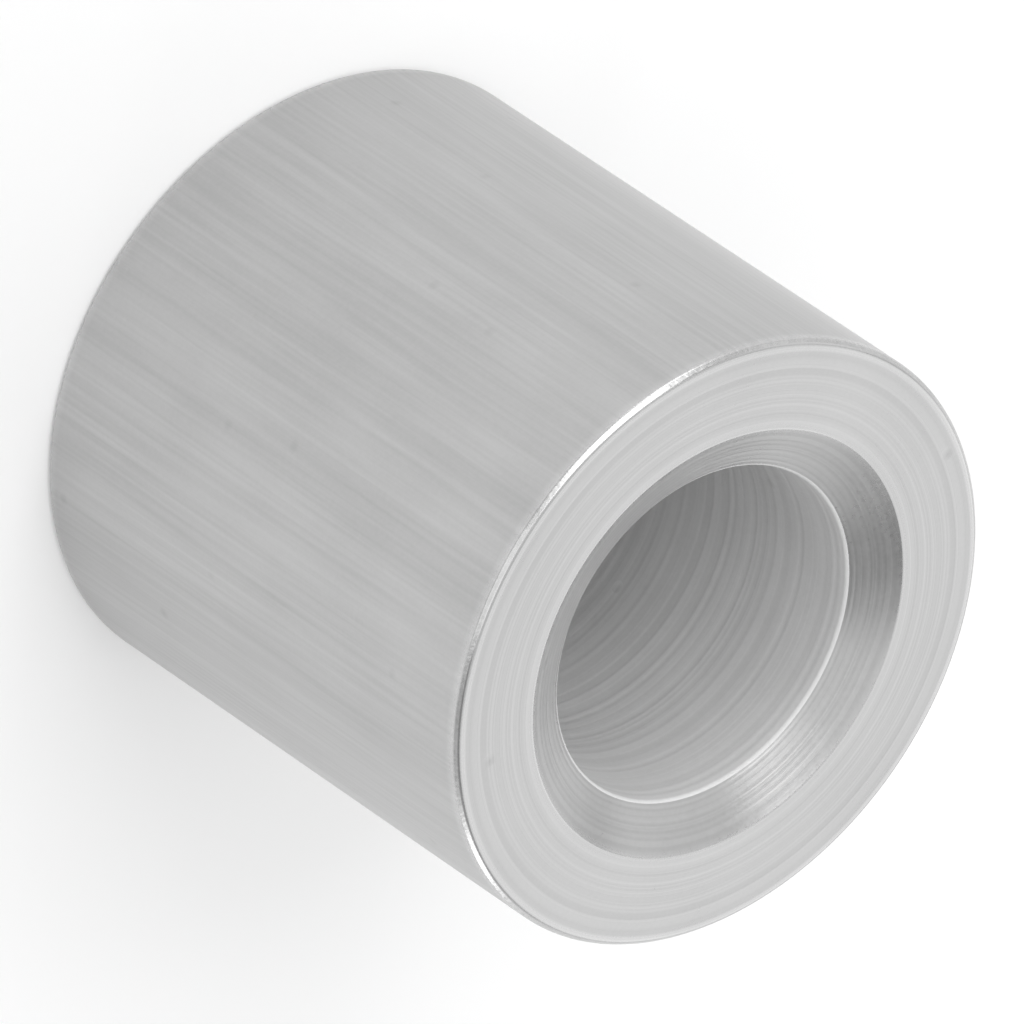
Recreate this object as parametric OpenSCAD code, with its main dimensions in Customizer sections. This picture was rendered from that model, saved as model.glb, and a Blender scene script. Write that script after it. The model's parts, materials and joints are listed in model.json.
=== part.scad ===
// Cable stop sleeve, standing on one end with the bore upright. All sizes are in millimetres.

/* [Sleeve] */
// Outside diameter of the sleeve
outer_d = 6.35; // [5.5:0.05:9]
// Length of the sleeve from end face to end face
sleeve_length = 6.35; // [3:0.05:12]
// Flat turned on each outer edge, measured across the end face and along the wall
edge_break = 0.05; // [0.02:0.01:0.2]

/* [Bore] */
// Diameter of the cable that the sleeve slides onto
cable_d = 3.2; // [2:0.1:4]
// Play between the cable and the bore, on the diameter
cable_play = 0.3; // [0.1:0.05:0.5]

/* [Lead-in] */
// Width of the conical lead-in at each end of the bore, measured across the end face
lead_in_width = 0.5; // [0.2:0.05:0.8]
// Depth of the conical lead-in below the end face
lead_in_depth = 0.25; // [0.1:0.05:0.8]

/* [Hidden] */
// Facets around the sleeve in the preview
facets = 128;
metal_grey = [0.73, 0.73, 0.73];
outer_r = outer_d / 2;
bore_r = (cable_d + cable_play) / 2;
mouth_r = bore_r + lead_in_width;

// One end of the half-section, from the bore out to the wall, as radius and height above the end face
end_profile = [
    [bore_r, lead_in_depth],
    [mouth_r, 0],
    [outer_r - edge_break, 0],
    [outer_r, edge_break]
];

// Both ends of the half-section, the second one turned over at the top of the sleeve
module half_section() {
    last = len(end_profile) - 1;
    top_profile = [for (i = [last:-1:0]) [end_profile[i].x, sleeve_length - end_profile[i].y]];
    polygon(concat(end_profile, top_profile));
}

// The whole sleeve, turned in one piece about the axis of the bore
module stop_sleeve() {
    color(metal_grey)
        rotate_extrude($fn = facets)
            half_section();
}

stop_sleeve();
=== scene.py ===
import json
import math

import bpy
import numpy as np
from mathutils import Matrix, Vector


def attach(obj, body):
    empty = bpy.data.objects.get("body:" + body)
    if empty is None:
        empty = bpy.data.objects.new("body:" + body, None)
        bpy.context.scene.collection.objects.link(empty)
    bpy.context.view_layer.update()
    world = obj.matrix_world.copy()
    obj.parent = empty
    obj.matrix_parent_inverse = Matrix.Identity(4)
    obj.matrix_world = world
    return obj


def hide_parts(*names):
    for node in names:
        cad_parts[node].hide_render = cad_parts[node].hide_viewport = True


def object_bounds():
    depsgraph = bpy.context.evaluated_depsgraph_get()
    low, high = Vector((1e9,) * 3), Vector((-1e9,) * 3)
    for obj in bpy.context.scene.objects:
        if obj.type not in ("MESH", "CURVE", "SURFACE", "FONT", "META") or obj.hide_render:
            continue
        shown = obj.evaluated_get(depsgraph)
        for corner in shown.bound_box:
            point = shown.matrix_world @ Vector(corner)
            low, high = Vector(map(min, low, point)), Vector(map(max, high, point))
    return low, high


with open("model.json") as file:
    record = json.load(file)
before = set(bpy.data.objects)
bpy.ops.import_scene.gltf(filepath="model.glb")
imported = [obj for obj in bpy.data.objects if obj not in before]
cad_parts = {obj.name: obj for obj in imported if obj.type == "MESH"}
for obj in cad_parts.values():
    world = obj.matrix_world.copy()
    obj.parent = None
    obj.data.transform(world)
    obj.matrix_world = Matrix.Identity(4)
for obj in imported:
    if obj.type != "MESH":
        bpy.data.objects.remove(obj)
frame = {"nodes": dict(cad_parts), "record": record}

bl_info = {
    "name": "Cable stop sleeve",
    "version": (1, 0, 0),
    "blender": (4, 5, 0),
    "location": "3D View > Sidebar > Cable Stop",
    "description": "Turns a one-piece cable stop sleeve and sets it on a pale studio floor",
    "category": "Object",
}

CAD_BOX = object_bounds()
SLEEVE_NODE = "stop_sleeve"
MM = 0.001
# Height within which a point counts as lying on an end face
FACE_TOLERANCE = 0.001 * MM

# Width of the picture, the sleeve's outer radius in it, and how far right and up of the sleeve's
# middle the line of sight passes
PICTURE_PX = 1024
OUTER_RADIUS_PX = 332.0
SIGHT_OFFSET_PX = (0.1, -7.0)


def mount_sizes(name):
    """Radius and length in metres of one of the record's round mounts."""
    dims = next(m["dims"] for m in frame["record"]["mounts"] if m["name"] == name)
    return dims["r_mm"] * MM, dims["length_mm"] * MM


def mouth_radius_of_node():
    """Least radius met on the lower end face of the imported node, where the lead-in begins."""
    mesh = frame["nodes"][SLEEVE_NODE].data
    places = np.empty(len(mesh.vertices) * 3)
    mesh.vertices.foreach_get("co", places)
    places = places.reshape(-1, 3)
    on_face = places[places[:, 2] < places[:, 2].min() + FACE_TOLERANCE]
    return float(np.hypot(on_face[:, 0], on_face[:, 1]).min())


LENGTH = float(CAD_BOX[1].z - CAD_BOX[0].z)
OUTER_R, WALL_LENGTH = mount_sizes("crimp_wall")
BORE_R, BORE_LENGTH = mount_sizes("cable_bore")
MOUTH_R = mouth_radius_of_node()


class SleeveSizes(bpy.types.PropertyGroup):
    """Sizes of the turned sleeve"""

    outer_radius: bpy.props.FloatProperty(
        name="Outer radius", description="Radius of the outside wall",
        default=OUTER_R, min=0.001, unit="LENGTH", precision=6)
    bore_radius: bpy.props.FloatProperty(
        name="Bore radius", description="Radius of the straight bore",
        default=BORE_R, min=0.0005, unit="LENGTH", precision=6)
    mouth_radius: bpy.props.FloatProperty(
        name="Mouth radius", description="Radius of the lead-in where it meets the end face",
        default=MOUTH_R, min=0.0005, unit="LENGTH", precision=6)
    length: bpy.props.FloatProperty(
        name="Length", description="Length from end face to end face",
        default=LENGTH, min=0.001, unit="LENGTH", precision=6)
    lead_in_depth: bpy.props.FloatProperty(
        name="Lead-in depth", description="Depth of the lead-in below the end face",
        default=(LENGTH - BORE_LENGTH) / 2, min=0.00001, unit="LENGTH", precision=6)
    edge_break: bpy.props.FloatProperty(
        name="Edge break", description="Width of the broken outer edge",
        default=(LENGTH - WALL_LENGTH) / 2, min=0.00001, unit="LENGTH", precision=6)
    edge_round: bpy.props.FloatProperty(
        name="Edge rounding", description="Radius that tumbling leaves on each edge",
        default=0.05 * MM, min=0.000005, unit="LENGTH", precision=6)


class SleeveFinish(bpy.types.PropertyGroup):
    """Colours and roughness of the bare metal"""

    metal: bpy.props.FloatVectorProperty(
        name="Metal", description="Colour of the bare metal", subtype="COLOR",
        size=3, default=(0.485, 0.485, 0.485), min=0.0, max=1.0)
    # The bore's duller skin is the drill's, but its colour is set lighter than the metal as painted light
    # that lifts the shaded bore
    bore_skin_and_painted_light: bpy.props.FloatVectorProperty(
        name="Bore skin", description="Colour of the dull skin that the drill leaves", subtype="COLOR",
        size=3, default=(0.66, 0.66, 0.66), min=0.0, max=1.0)
    wall_roughness: bpy.props.FloatProperty(
        name="Wall roughness", description="Mean roughness of the drawn outside wall",
        default=0.36, min=0.05, max=1.0, subtype="FACTOR")
    end_roughness: bpy.props.FloatProperty(
        name="End roughness", description="Mean roughness of the turned end faces and lead-ins",
        default=0.32, min=0.05, max=1.0, subtype="FACTOR")
    bore_roughness: bpy.props.FloatProperty(
        name="Bore roughness", description="Mean roughness of the drilled bore",
        default=0.55, min=0.05, max=1.0, subtype="FACTOR")


class StudioSettings(bpy.types.PropertyGroup):
    """Floor, light and camera"""

    floor: bpy.props.FloatVectorProperty(
        name="Floor", description="Colour of the studio floor", subtype="COLOR",
        size=3, default=(0.8, 0.8, 0.8), min=0.0, max=1.0)
    tent_top: bpy.props.FloatProperty(
        name="Tent top", description="Brightness of the light tent overhead, where its rim is 1",
        default=0.35, min=0.0, max=1.0, subtype="FACTOR")
    elevation: bpy.props.FloatProperty(
        name="Elevation", description="Height of the camera above the horizon",
        default=math.radians(41.8), subtype="ANGLE")
    roll: bpy.props.FloatProperty(
        name="Roll", description="Turn of the camera about its own line of sight",
        default=math.radians(124.0), subtype="ANGLE")
    distance: bpy.props.FloatProperty(
        name="Distance", description="Distance from the camera to the middle of the sleeve",
        default=0.254, min=0.01, unit="LENGTH")
    field: bpy.props.FloatProperty(
        name="Field", description="Width of the picture at the middle of the sleeve",
        default=PICTURE_PX / OUTER_RADIUS_PX * OUTER_R, min=0.001, unit="LENGTH", precision=6)


# The half-section runs through eight corners. Each corner gives a short arc and then a straight run,
# and the arc and run of corner n are surface n of this list.
SURFACES = ("lead_in", "end", "edge", "wall", "edge", "end", "lead_in", "bore")
ARC_STEPS = 6
RUN_STEPS = 14
STEPS = ARC_STEPS + RUN_STEPS
AROUND = 480
# How burnished each corner is, where a bore corner is sheltered, and how far the wear reaches from it
CORNER_WEAR = (0.35, 0.6, 1.0, 1.0, 1.0, 1.0, 0.6, 0.35)
WEAR_REACH = 0.05 * MM
# The four sheets of the flat map, the sheet of each surface, the gap between sheets, and its name
LOWER_END, WALL, UPPER_END, BORE = range(4)
SHEETS = (LOWER_END, LOWER_END, LOWER_END, WALL, UPPER_END, UPPER_END, UPPER_END, BORE)
MAP_GAP = 0.12 * MM
MAP_NAME = "OFBake"


def sleeve_corners(sizes):
    """Corners of the half-section as radius and height, from the lower end of the bore outwards and
    round by the wall to the upper end of the bore."""
    top = sizes.length
    face_r = sizes.outer_radius - sizes.edge_break
    return np.array([
        (sizes.bore_radius, sizes.lead_in_depth),
        (sizes.mouth_radius, 0.0),
        (face_r, 0.0),
        (sizes.outer_radius, sizes.edge_break),
        (sizes.outer_radius, top - sizes.edge_break),
        (face_r, top),
        (sizes.mouth_radius, top),
        (sizes.bore_radius, top - sizes.lead_in_depth),
    ])


def rounded_section(corners, radius):
    """Closed half-section with each corner rounded, as an array of corner, step, (radius, height).
    A corner of inner angle a gives way to an arc of the radius, tangent to both sides at
    radius / tan(a / 2) from the corner. The straight run to the next arc is spaced by
    (1 - cos(pi t)) / 2, which is closest near the arcs."""
    before = np.roll(corners, 1, axis=0) - corners
    after = np.roll(corners, -1, axis=0) - corners
    before /= np.linalg.norm(before, axis=1, keepdims=True)
    after /= np.linalg.norm(after, axis=1, keepdims=True)
    half = np.arccos(np.clip((before * after).sum(1), -1, 1)) / 2
    inward = before + after
    inward /= np.linalg.norm(inward, axis=1, keepdims=True)
    centres = corners + inward * (radius / np.sin(half))[:, None]
    starts = corners + before * (radius / np.tan(half))[:, None]
    ends = corners + after * (radius / np.tan(half))[:, None]
    first = np.arctan2(*(starts - centres).T[::-1])
    last = np.arctan2(*(ends - centres).T[::-1])
    turn = (last - first + math.pi) % (2 * math.pi) - math.pi
    angles = first[:, None] + turn[:, None] * np.arange(ARC_STEPS) / ARC_STEPS
    arcs = centres[:, None] + radius * np.stack([np.cos(angles), np.sin(angles)], axis=2)
    run = (1 - np.cos(np.pi * np.arange(RUN_STEPS) / RUN_STEPS)) / 2
    runs = ends[:, None] + (np.roll(starts, -1, axis=0) - ends)[:, None] * run[:, None]
    return np.concatenate([arcs, runs], axis=1)


def turned_grid(section):
    """The section turned about the Z axis: the point of angle a and section step s is
    (r(s) cos a, r(s) sin a, z(s)). Both ways round close on themselves, so there is no seam or pole."""
    r, z = section.reshape(-1, 2).T
    a = 2 * math.pi * np.arange(AROUND)[:, None] / AROUND
    places = np.stack([np.cos(a) * r, np.sin(a) * r, np.broadcast_to(z, (AROUND, len(z)))], axis=2)
    i, s = np.meshgrid(np.arange(AROUND), np.arange(len(z)), indexing="ij")
    i_next, s_next = (i + 1) % AROUND, (s + 1) % len(z)
    faces = np.stack([i * len(z) + s, i_next * len(z) + s,
                      i_next * len(z) + s_next, i * len(z) + s_next], axis=2)
    return places.reshape(-1, 3), faces.reshape(-1, 4)


def flat_map(section, sizes):
    """Where each face corner lies on a flat map in the unit square, at about one scale all over. The
    wall and the bore are unrolled, u = angle times radius and v = height, and each end is laid as it
    looks along the axis, u = r cos(angle) and v = r sin(angle)."""
    steps = np.arange(len(SURFACES) * STEPS)
    r, z = section.reshape(-1, 2)[np.stack([steps, steps, steps + 1, steps + 1], axis=1) % len(steps)].T
    a = 2 * math.pi * (np.arange(AROUND)[:, None, None] + (0, 1, 1, 0)) / AROUND
    sheet = np.repeat(SHEETS, STEPS)[:, None]
    girth = np.where(sheet == WALL, sizes.outer_radius, sizes.bore_radius) * a
    unrolled = np.stack([girth, np.broadcast_to(z.T, girth.shape)], axis=3)
    end_on = np.stack([np.cos(a) * r.T, np.sin(a) * r.T], axis=3)
    across = 2 * math.pi * sizes.bore_radius + sizes.outer_radius
    origins = np.empty((4, 2))
    origins[WALL] = MAP_GAP, MAP_GAP
    origins[BORE] = MAP_GAP, 2 * MAP_GAP + sizes.length
    origins[UPPER_END] = 2 * MAP_GAP + across, 2 * MAP_GAP + sizes.length + sizes.outer_radius
    origins[LOWER_END] = MAP_GAP + sizes.outer_radius, 3 * MAP_GAP + 2 * sizes.length + sizes.outer_radius
    rolled = np.isin(sheet, (WALL, BORE))[:, :, None]
    side = 2 * math.pi * sizes.outer_radius + 2 * MAP_GAP
    return (np.where(rolled, unrolled, end_on) + origins[sheet]) / side


def edge_wear(section):
    """How burnished each section point is: the greatest, over the corners, of the corner's wear times
    exp(-(d / reach)^2), where d is the distance to that corner along the section."""
    flat = section.reshape(-1, 2)
    steps = np.linalg.norm(np.roll(flat, -1, axis=0) - flat, axis=1)
    along = np.concatenate([[0.0], np.cumsum(steps)[:-1]])
    middles = along.reshape(len(section), STEPS)[:, ARC_STEPS // 2]
    gap = np.abs(along[:, None] - middles)
    gap = np.minimum(gap, steps.sum() - gap)
    return (np.array(CORNER_WEAR) * np.exp(-(gap / WEAR_REACH) ** 2)).max(axis=1)


def new_mesh(name, places, faces):
    """A smooth mesh of four-cornered faces from whole arrays of places and of corner numbers."""
    mesh = bpy.data.meshes.new(name)
    mesh.vertices.add(len(places))
    mesh.vertices.foreach_set("co", places.astype(np.float32).ravel())
    mesh.loops.add(faces.size)
    mesh.loops.foreach_set("vertex_index", faces.astype(np.int32).ravel())
    mesh.polygons.add(len(faces))
    mesh.polygons.foreach_set("loop_start", np.arange(0, faces.size, 4, dtype=np.int32))
    mesh.polygons.foreach_set("use_smooth", np.ones(len(faces), bool))
    mesh.update(calc_edges=True)
    if mesh.validate():
        raise RuntimeError(f"{name} has faces that Blender had to mend")
    return mesh


def add(tree, kind, inputs=None, **settings):
    """A new node with its settings, whose inputs are set to values or linked to other outputs."""
    made = tree.nodes.new(kind)
    for name, value in settings.items():
        setattr(made, name, value)
    for key, value in (inputs or {}).items():
        if isinstance(value, bpy.types.NodeSocket):
            tree.links.new(value, made.inputs[key])
        else:
            made.inputs[key].default_value = value
    return made


def maths(tree, operation, a, b=0.0, c=0.0):
    return add(tree, "ShaderNodeMath", {0: a, 1: b, 2: c}, operation=operation).outputs[0]


def vectors(tree, operation, inputs):
    return add(tree, "ShaderNodeVectorMath", inputs, operation=operation)


def swing(tree, base, value, reach):
    """The base moved from reach below to reach above as the value goes from 0 to 1."""
    return maths(tree, "MULTIPLY_ADD", maths(tree, "SUBTRACT", value, 0.5), 2 * reach, base)


def spread(tree, value, low, high, to_low=0.0, to_high=1.0):
    """The value from low to high taken in step to the range from to_low to to_high."""
    return add(tree, "ShaderNodeMapRange", {
        "Value": value, "From Min": low, "From Max": high,
        "To Min": to_low, "To Max": to_high}).outputs["Result"]


def grain(tree, where, size, detail, draw=1):
    """Noise whose blotches are about size metres across, drawn out along Z."""
    scale = (1 / size, 1 / size, 1 / (size * draw))
    return add(tree, "ShaderNodeTexNoise", {
        "Vector": vectors(tree, "MULTIPLY", {0: where, 1: scale}).outputs[0],
        "Scale": 1.0, "Detail": detail}).outputs["Fac"]


def lines(tree, along, pitch):
    """Tool lines at about that pitch, as noise of one coordinate."""
    return add(tree, "ShaderNodeTexNoise", {
        "W": maths(tree, "MULTIPLY", along, 1 / pitch), "Scale": 1.0, "Detail": 1.5},
        noise_dimensions="1D").outputs["Fac"]


def dents(tree, where, spacing, reach):
    """Round dents in cells of that spacing: 1 in the middle of a dent, falling to 0 at its reach."""
    scaled = vectors(tree, "SCALE", {0: where, "Scale": 1 / spacing}).outputs[0]
    gap = add(tree, "ShaderNodeTexVoronoi", {"Vector": scaled, "Scale": 1.0}).outputs["Distance"]
    return spread(tree, gap, 0.0, reach / spacing, 1.0, 0.0)


# What all the finishes share. Tone is a share of the colour, and both tone and roughness swing up and
# down by the amount given, except that dents only darken, which is painted shade in their hollows, and
# wear only brightens and smooths.
CLOUD_SIZE = 1.3 * MM
CLOUD_TONE = 0.08
CLOUD_ROUGH = 0.08
TUMBLE_SIZE = 0.045 * MM
TUMBLE_TONE = 0.04
TUMBLE_ROUGH = 0.05
DENT_SPACING = 0.85 * MM
DENT_REACH = 0.075 * MM
DENT_DEPTH = 0.004 * MM
# Darkening of the colour in the middle of each dent: painted shade in the hollow
DENT_PAINTED_SHADE = 0.12
WEAR_TONE = 0.12
WEAR_ROUGH = 0.1
# Noise stays near a half, and this part of its range is stretched to the full swing of the tool marks
MARK_RANGE = (0.33, 0.67)
# Anisotropy of drawn lines and of turned rings. A quarter turn lays the blur across the rings.
LINES_BLUR = 0.35
RINGS_BLUR = 0.5
ACROSS_RINGS = 0.25


class Metal:
    """One finish of the bare metal: cloudy tone, tool marks, tumbled grain, dents and bright edges."""

    def __init__(self, name, colour, metallic, roughness, anisotropy=0.0, turn=0.0):
        self.material = bpy.data.materials.new(name)
        self.material.use_nodes = True
        self.tree = self.material.node_tree
        self.shader = self.tree.nodes["Principled BSDF"]
        self.colour = colour
        self.roughness = roughness
        self.shader.inputs["Metallic"].default_value = metallic
        self.shader.inputs["Anisotropic"].default_value = anisotropy
        self.shader.inputs["Anisotropic Rotation"].default_value = turn
        if anisotropy:
            around = add(self.tree, "ShaderNodeTangent", direction_type="RADIAL", axis="Z")
            self.tree.links.new(around.outputs["Tangent"], self.shader.inputs["Tangent"])
        self.where = add(self.tree, "ShaderNodeTexCoord").outputs["Object"]

    def radius(self):
        """Distance from the axis of the bore."""
        flat = vectors(self.tree, "MULTIPLY", {0: self.where, 1: (1, 1, 0)}).outputs[0]
        return vectors(self.tree, "LENGTH", {0: flat}).outputs["Value"]

    def height(self):
        """Height above the lower end face."""
        return add(self.tree, "ShaderNodeSeparateXYZ", {0: self.where}).outputs["Z"]

    def dress(self, marks, depth, tone_reach):
        """Lays the tool marks and the dents, which wear away at the edges, into the tone and the bump,
        where the darker tone in the dents is painted shade.
        The clouds, the tumbled grain and the worn edges go into the tone and the roughness."""
        tree = self.tree
        shader = self.shader
        marks = spread(tree, marks, *MARK_RANGE)
        cloud = grain(tree, self.where, CLOUD_SIZE, detail=3.0)
        tumble = grain(tree, self.where, TUMBLE_SIZE, detail=1.0)
        worn = add(tree, "ShaderNodeAttribute", attribute_name="edge_wear").outputs["Fac"]
        dented = dents(tree, self.where, DENT_SPACING, DENT_REACH)
        dented = maths(tree, "MULTIPLY", dented, maths(tree, "SUBTRACT", 1.0, worn))
        tone = swing(tree, 1.0, marks, tone_reach)
        tone = swing(tree, tone, cloud, CLOUD_TONE)
        tone = swing(tree, tone, tumble, TUMBLE_TONE)
        tone = maths(tree, "MULTIPLY_ADD", worn, WEAR_TONE, tone)
        # Painted shade: the colour darkens towards the middle of each dent
        tone = maths(tree, "MULTIPLY_ADD", dented, -DENT_PAINTED_SHADE, tone)
        colour = vectors(tree, "SCALE", {0: tuple(self.colour), "Scale": tone})
        tree.links.new(colour.outputs[0], shader.inputs["Base Color"])
        rough = swing(tree, self.roughness, cloud, CLOUD_ROUGH)
        rough = swing(tree, rough, tumble, TUMBLE_ROUGH)
        rough = maths(tree, "MULTIPLY_ADD", worn, -WEAR_ROUGH, rough)
        tree.links.new(rough, shader.inputs["Roughness"])
        relief = maths(tree, "MULTIPLY_ADD", marks, depth, maths(tree, "MULTIPLY", dented, -DENT_DEPTH))
        bump = add(tree, "ShaderNodeBump", {"Height": relief, "Distance": 1.0, "Strength": 1.0})
        tree.links.new(bump.outputs["Normal"], shader.inputs["Normal"])
        return self.material


def two_sizes(tree, coarse, fine, share):
    """Coarse and fine marks laid over each other, the coarse ones with that share."""
    return maths(tree, "MULTIPLY_ADD", coarse, share, maths(tree, "MULTIPLY", fine, 1 - share))


def drawn_wall(finish):
    """Outside wall of drawn bar: lines along the axis, broad ones and fine ones."""
    metal = Metal("drawn wall", finish.metal, 1.0, finish.wall_roughness, anisotropy=LINES_BLUR)
    broad = grain(metal.tree, metal.where, size=0.34 * MM, detail=3.0, draw=40)
    fine = grain(metal.tree, metal.where, size=0.05 * MM, detail=2.0, draw=45)
    marks = two_sizes(metal.tree, broad, fine, share=0.5)
    return metal.dress(marks, depth=0.002 * MM, tone_reach=0.08)


def turned_end(finish):
    """End face cut on the lathe: rings about the axis that the tool's feed leaves."""
    metal = Metal("turned end", finish.metal, 1.0, finish.end_roughness, RINGS_BLUR, ACROSS_RINGS)
    coarse = lines(metal.tree, metal.radius(), pitch=0.085 * MM)
    fine = lines(metal.tree, metal.radius(), pitch=0.028 * MM)
    marks = two_sizes(metal.tree, coarse, fine, share=0.65)
    return metal.dress(marks, depth=0.002 * MM, tone_reach=0.06)


def cut_lead_in(finish):
    """Conical lead-in: finer rings from the countersink."""
    metal = Metal("cut lead-in", finish.metal, 1.0, finish.end_roughness, RINGS_BLUR, ACROSS_RINGS)
    marks = lines(metal.tree, metal.radius(), pitch=0.05 * MM)
    return metal.dress(marks, depth=0.001 * MM, tone_reach=0.05)


def drilled_bore(finish):
    """Bore wall: rings along the axis that the drill leaves on a duller skin, whose colour, lighter than
    the metal, is painted light that lifts the shaded bore.
    """
    # The lighter bore colour is painted light that brightens the shaded bore
    metal = Metal("drilled bore", finish.bore_skin_and_painted_light, 0.1, finish.bore_roughness)
    marks = lines(metal.tree, metal.height(), pitch=0.12 * MM)
    return metal.dress(marks, depth=0.003 * MM, tone_reach=0.05)


class CABLE_STOP_OT_sleeve(bpy.types.Operator):
    """Turn the sleeve as a surface of revolution and give it its finishes"""

    bl_idname = "cable_stop.sleeve"
    bl_label = "Turn Sleeve"

    def execute(self, context):
        sizes = context.scene.cable_stop_sizes
        finish = context.scene.cable_stop_finish
        section = rounded_section(sleeve_corners(sizes), sizes.edge_round)
        mesh = new_mesh("stop_sleeve_body", *turned_grid(section))
        self.finish_surfaces(mesh, section, finish)
        layer = mesh.uv_layers.new(name=MAP_NAME)
        layer.uv.foreach_set("vector", flat_map(section, sizes).astype(np.float32).ravel())
        piece = bpy.data.objects.new("stop_sleeve_body", mesh)
        context.scene.collection.objects.link(piece)
        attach(piece, "root")
        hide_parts(SLEEVE_NODE)
        return {"FINISHED"}

    def finish_surfaces(self, mesh, section, finish):
        """One finish for each kind of surface, where the broken edges share the wall's."""
        for make in (drawn_wall, turned_end, cut_lead_in, drilled_bore):
            mesh.materials.append(make(finish))
        order = {"wall": 0, "edge": 0, "end": 1, "lead_in": 2, "bore": 3}
        slots = np.array([order[surface] for surface in SURFACES], np.int32)
        mesh.polygons.foreach_set("material_index", np.tile(np.repeat(slots, STEPS), AROUND))
        wear = mesh.attributes.new("edge_wear", "FLOAT", "POINT")
        wear.data.foreach_set("value", np.tile(edge_wear(section), AROUND).astype(np.float32))


# Softboxes about the sleeve: azimuth and elevation in degrees, width and height in metres, brightness
SOFTBOXES = {
    "far softbox": (180, 42, 1.0, 1.0, 0.83),
    "side softbox": (-115, 42, 0.9, 0.9, 0.5),
    "overhead softbox": (0, 89, 1.1, 1.1, 0.52),
    "key softbox": (-45, 50, 0.8, 0.8, 2.6),
    "fill softbox": (25, 50, 0.8, 0.8, 1.0),
    "left strip": (-60, 14, 0.3, 0.5, 2.4),
    "right strip": (116, 14, 0.3, 0.5, 2.4),
}
SOFTBOX_DISTANCE = 1.2
# Sine of the elevation where the light tent starts to dim, and where it has come down to its top
TENT_RISE = (0.2, 0.75)
# Half the side of the floor in metres, and the glow that brings it up to white
FLOOR_REACH = 1.5
FLOOR_GLOW = 0.15


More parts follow.
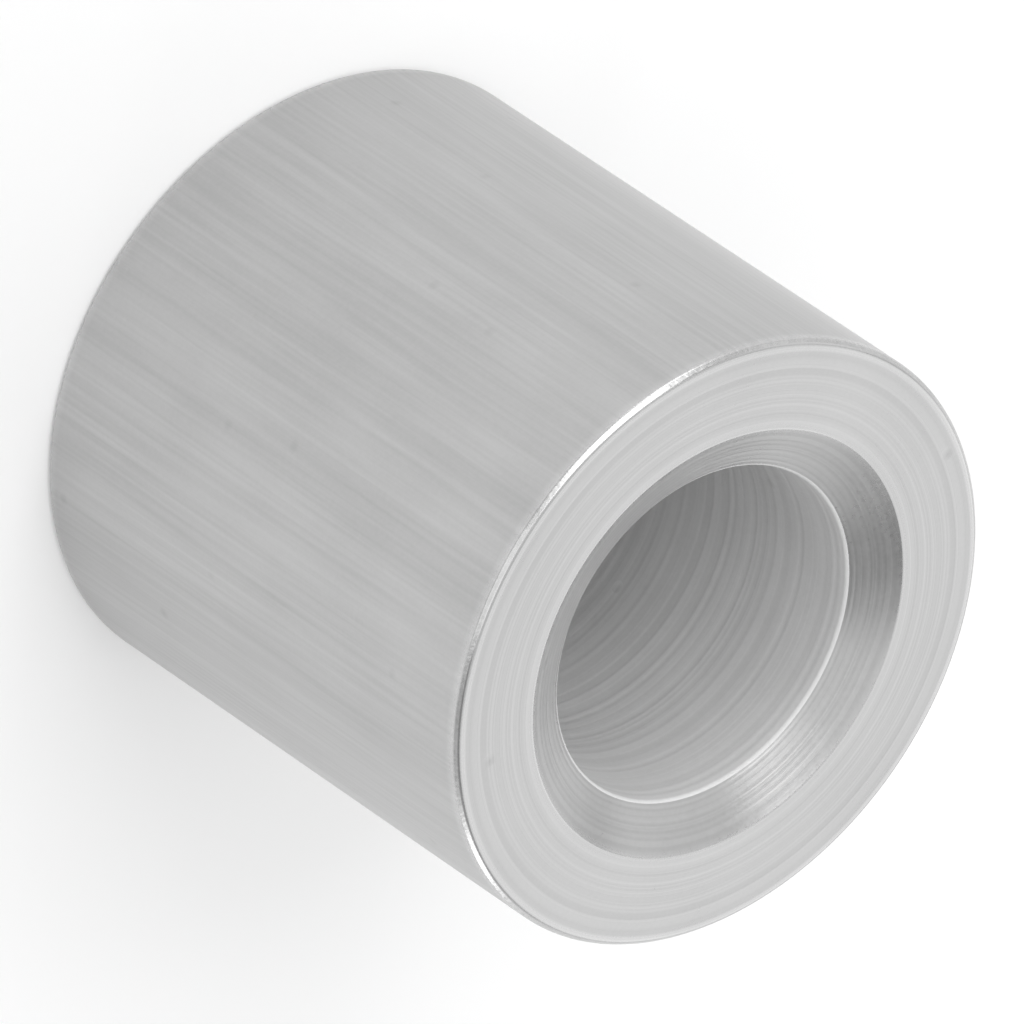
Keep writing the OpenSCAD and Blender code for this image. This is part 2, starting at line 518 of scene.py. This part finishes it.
class CABLE_STOP_OT_stage(bpy.types.Operator):
    """Lay the floor, hang the lamps and place the camera"""

    bl_idname = "cable_stop.stage"
    bl_label = "Set Stage"

    def execute(self, context):
        scene = context.scene
        studio = scene.cable_stop_studio
        scene.view_settings.view_transform = "Standard"
        self.floor(scene, studio)
        scene.world = self.tent(studio)
        for name, place in SOFTBOXES.items():
            self.softbox(scene, name, *place)
        self.camera(scene, studio)
        return {"FINISHED"}

    def floor(self, scene, studio):
        """A square of floor whose glow, seen by the camera and in the metal, brings it up to white."""
        mesh = bpy.data.meshes.new("floor")
        corners = [(x * FLOOR_REACH, y * FLOOR_REACH, 0) for x, y in ((-1, -1), (1, -1), (1, 1), (-1, 1))]
        mesh.from_pydata(corners, [], [(0, 1, 2, 3)])
        floor = bpy.data.objects.new("floor", mesh)
        scene.collection.objects.link(floor)
        material = bpy.data.materials.new("pale floor")
        material.use_nodes = True
        mesh.materials.append(material)
        tree = material.node_tree
        shader = tree.nodes["Principled BSDF"]
        shader.inputs["Base Color"].default_value = (*studio.floor, 1.0)
        shader.inputs["Roughness"].default_value = 0.9
        shader.inputs["Specular IOR Level"].default_value = 0.0
        shader.inputs["Emission Color"].default_value = (1, 1, 1, 1)
        ray = add(tree, "ShaderNodeLightPath").outputs
        seen = maths(tree, "MAXIMUM", ray["Is Camera Ray"], ray["Is Glossy Ray"])
        seen = maths(tree, "MAXIMUM", seen, ray["Is Transmission Ray"])
        tree.links.new(maths(tree, "MULTIPLY", seen, FLOOR_GLOW), shader.inputs["Emission Strength"])

    def tent(self, studio):
        """A light tent that is white, brightness 1, at the horizon and dims towards its top."""
        world = bpy.data.worlds.new("light tent")
        world.use_nodes = True
        tree = world.node_tree
        way = add(tree, "ShaderNodeTexCoord").outputs["Generated"]
        rise = add(tree, "ShaderNodeSeparateXYZ", {0: way}).outputs["Z"]
        shine = tree.nodes["Background"]
        shine.inputs["Color"].default_value = (1, 1, 1, 1)
        tree.links.new(spread(tree, rise, *TENT_RISE, 1.0, studio.tent_top), shine.inputs["Strength"])
        return world

    def softbox(self, scene, name, azimuth, elevation, width, height, brightness):
        """An upright panel that faces the sleeve. Its power is brightness times pi times its area, so
        that a brightness of 1 is as bright as a white floor."""
        a = math.radians(azimuth)
        e = math.radians(elevation)
        away = Vector((math.sin(a) * math.cos(e), -math.cos(a) * math.cos(e), math.sin(e)))
        light = bpy.data.lights.new(name, "AREA")
        light.shape = "RECTANGLE"
        light.size = width
        light.size_y = height
        light.energy = brightness * math.pi * width * height
        lamp = bpy.data.objects.new(name, light)
        lamp.location = away * SOFTBOX_DISTANCE
        lamp.rotation_euler = away.to_track_quat("Z", "Y").to_euler()
        scene.collection.objects.link(lamp)

    def camera(self, scene, studio):
        """A long lens that looks down on the sleeve, rolled so that the bore points right and down."""
        data = bpy.data.cameras.new("camera")
        data.lens = data.sensor_width * studio.distance / studio.field
        data.clip_start = 0.01
        data.clip_end = 10.0
        turn = (Matrix.Rotation(math.pi / 2 - studio.elevation, 3, "X")
                @ Matrix.Rotation(studio.roll, 3, "Z"))
        middle = Vector((0, 0, LENGTH / 2))
        px = studio.field / PICTURE_PX
        offset = Vector((SIGHT_OFFSET_PX[0] * px, SIGHT_OFFSET_PX[1] * px, studio.distance))
        camera = bpy.data.objects.new("camera", data)
        camera.location = middle + turn @ offset
        camera.rotation_euler = turn.to_euler()
        scene.collection.objects.link(camera)
        scene.camera = camera


class CABLE_STOP_PT_panel(bpy.types.Panel):
    """Sizes, finishes and stage of the sleeve"""

    bl_idname = "CABLE_STOP_PT_panel"
    bl_label = "Cable Stop Sleeve"
    bl_space_type = "VIEW_3D"
    bl_region_type = "UI"
    bl_category = "Cable Stop"

    def draw(self, context):
        for group, operator in (("cable_stop_sizes", None),
                                ("cable_stop_finish", "cable_stop.sleeve"),
                                ("cable_stop_studio", "cable_stop.stage")):
            settings = getattr(context.scene, group)
            box = self.layout.box()
            for name in settings.__annotations__:
                box.prop(settings, name)
            if operator:
                box.operator(operator)


CLASSES = (SleeveSizes, SleeveFinish, StudioSettings,
           CABLE_STOP_OT_sleeve, CABLE_STOP_OT_stage, CABLE_STOP_PT_panel)


def register():
    for each in CLASSES:
        bpy.utils.register_class(each)
    bpy.types.Scene.cable_stop_sizes = bpy.props.PointerProperty(type=SleeveSizes)
    bpy.types.Scene.cable_stop_finish = bpy.props.PointerProperty(type=SleeveFinish)
    bpy.types.Scene.cable_stop_studio = bpy.props.PointerProperty(type=StudioSettings)


def unregister():
    del bpy.types.Scene.cable_stop_studio
    del bpy.types.Scene.cable_stop_finish
    del bpy.types.Scene.cable_stop_sizes
    for each in reversed(CLASSES):
        bpy.utils.unregister_class(each)


def main():
    register()
    bpy.ops.cable_stop.sleeve()
    bpy.ops.cable_stop.stage()


if __name__ == "__main__":
    main()
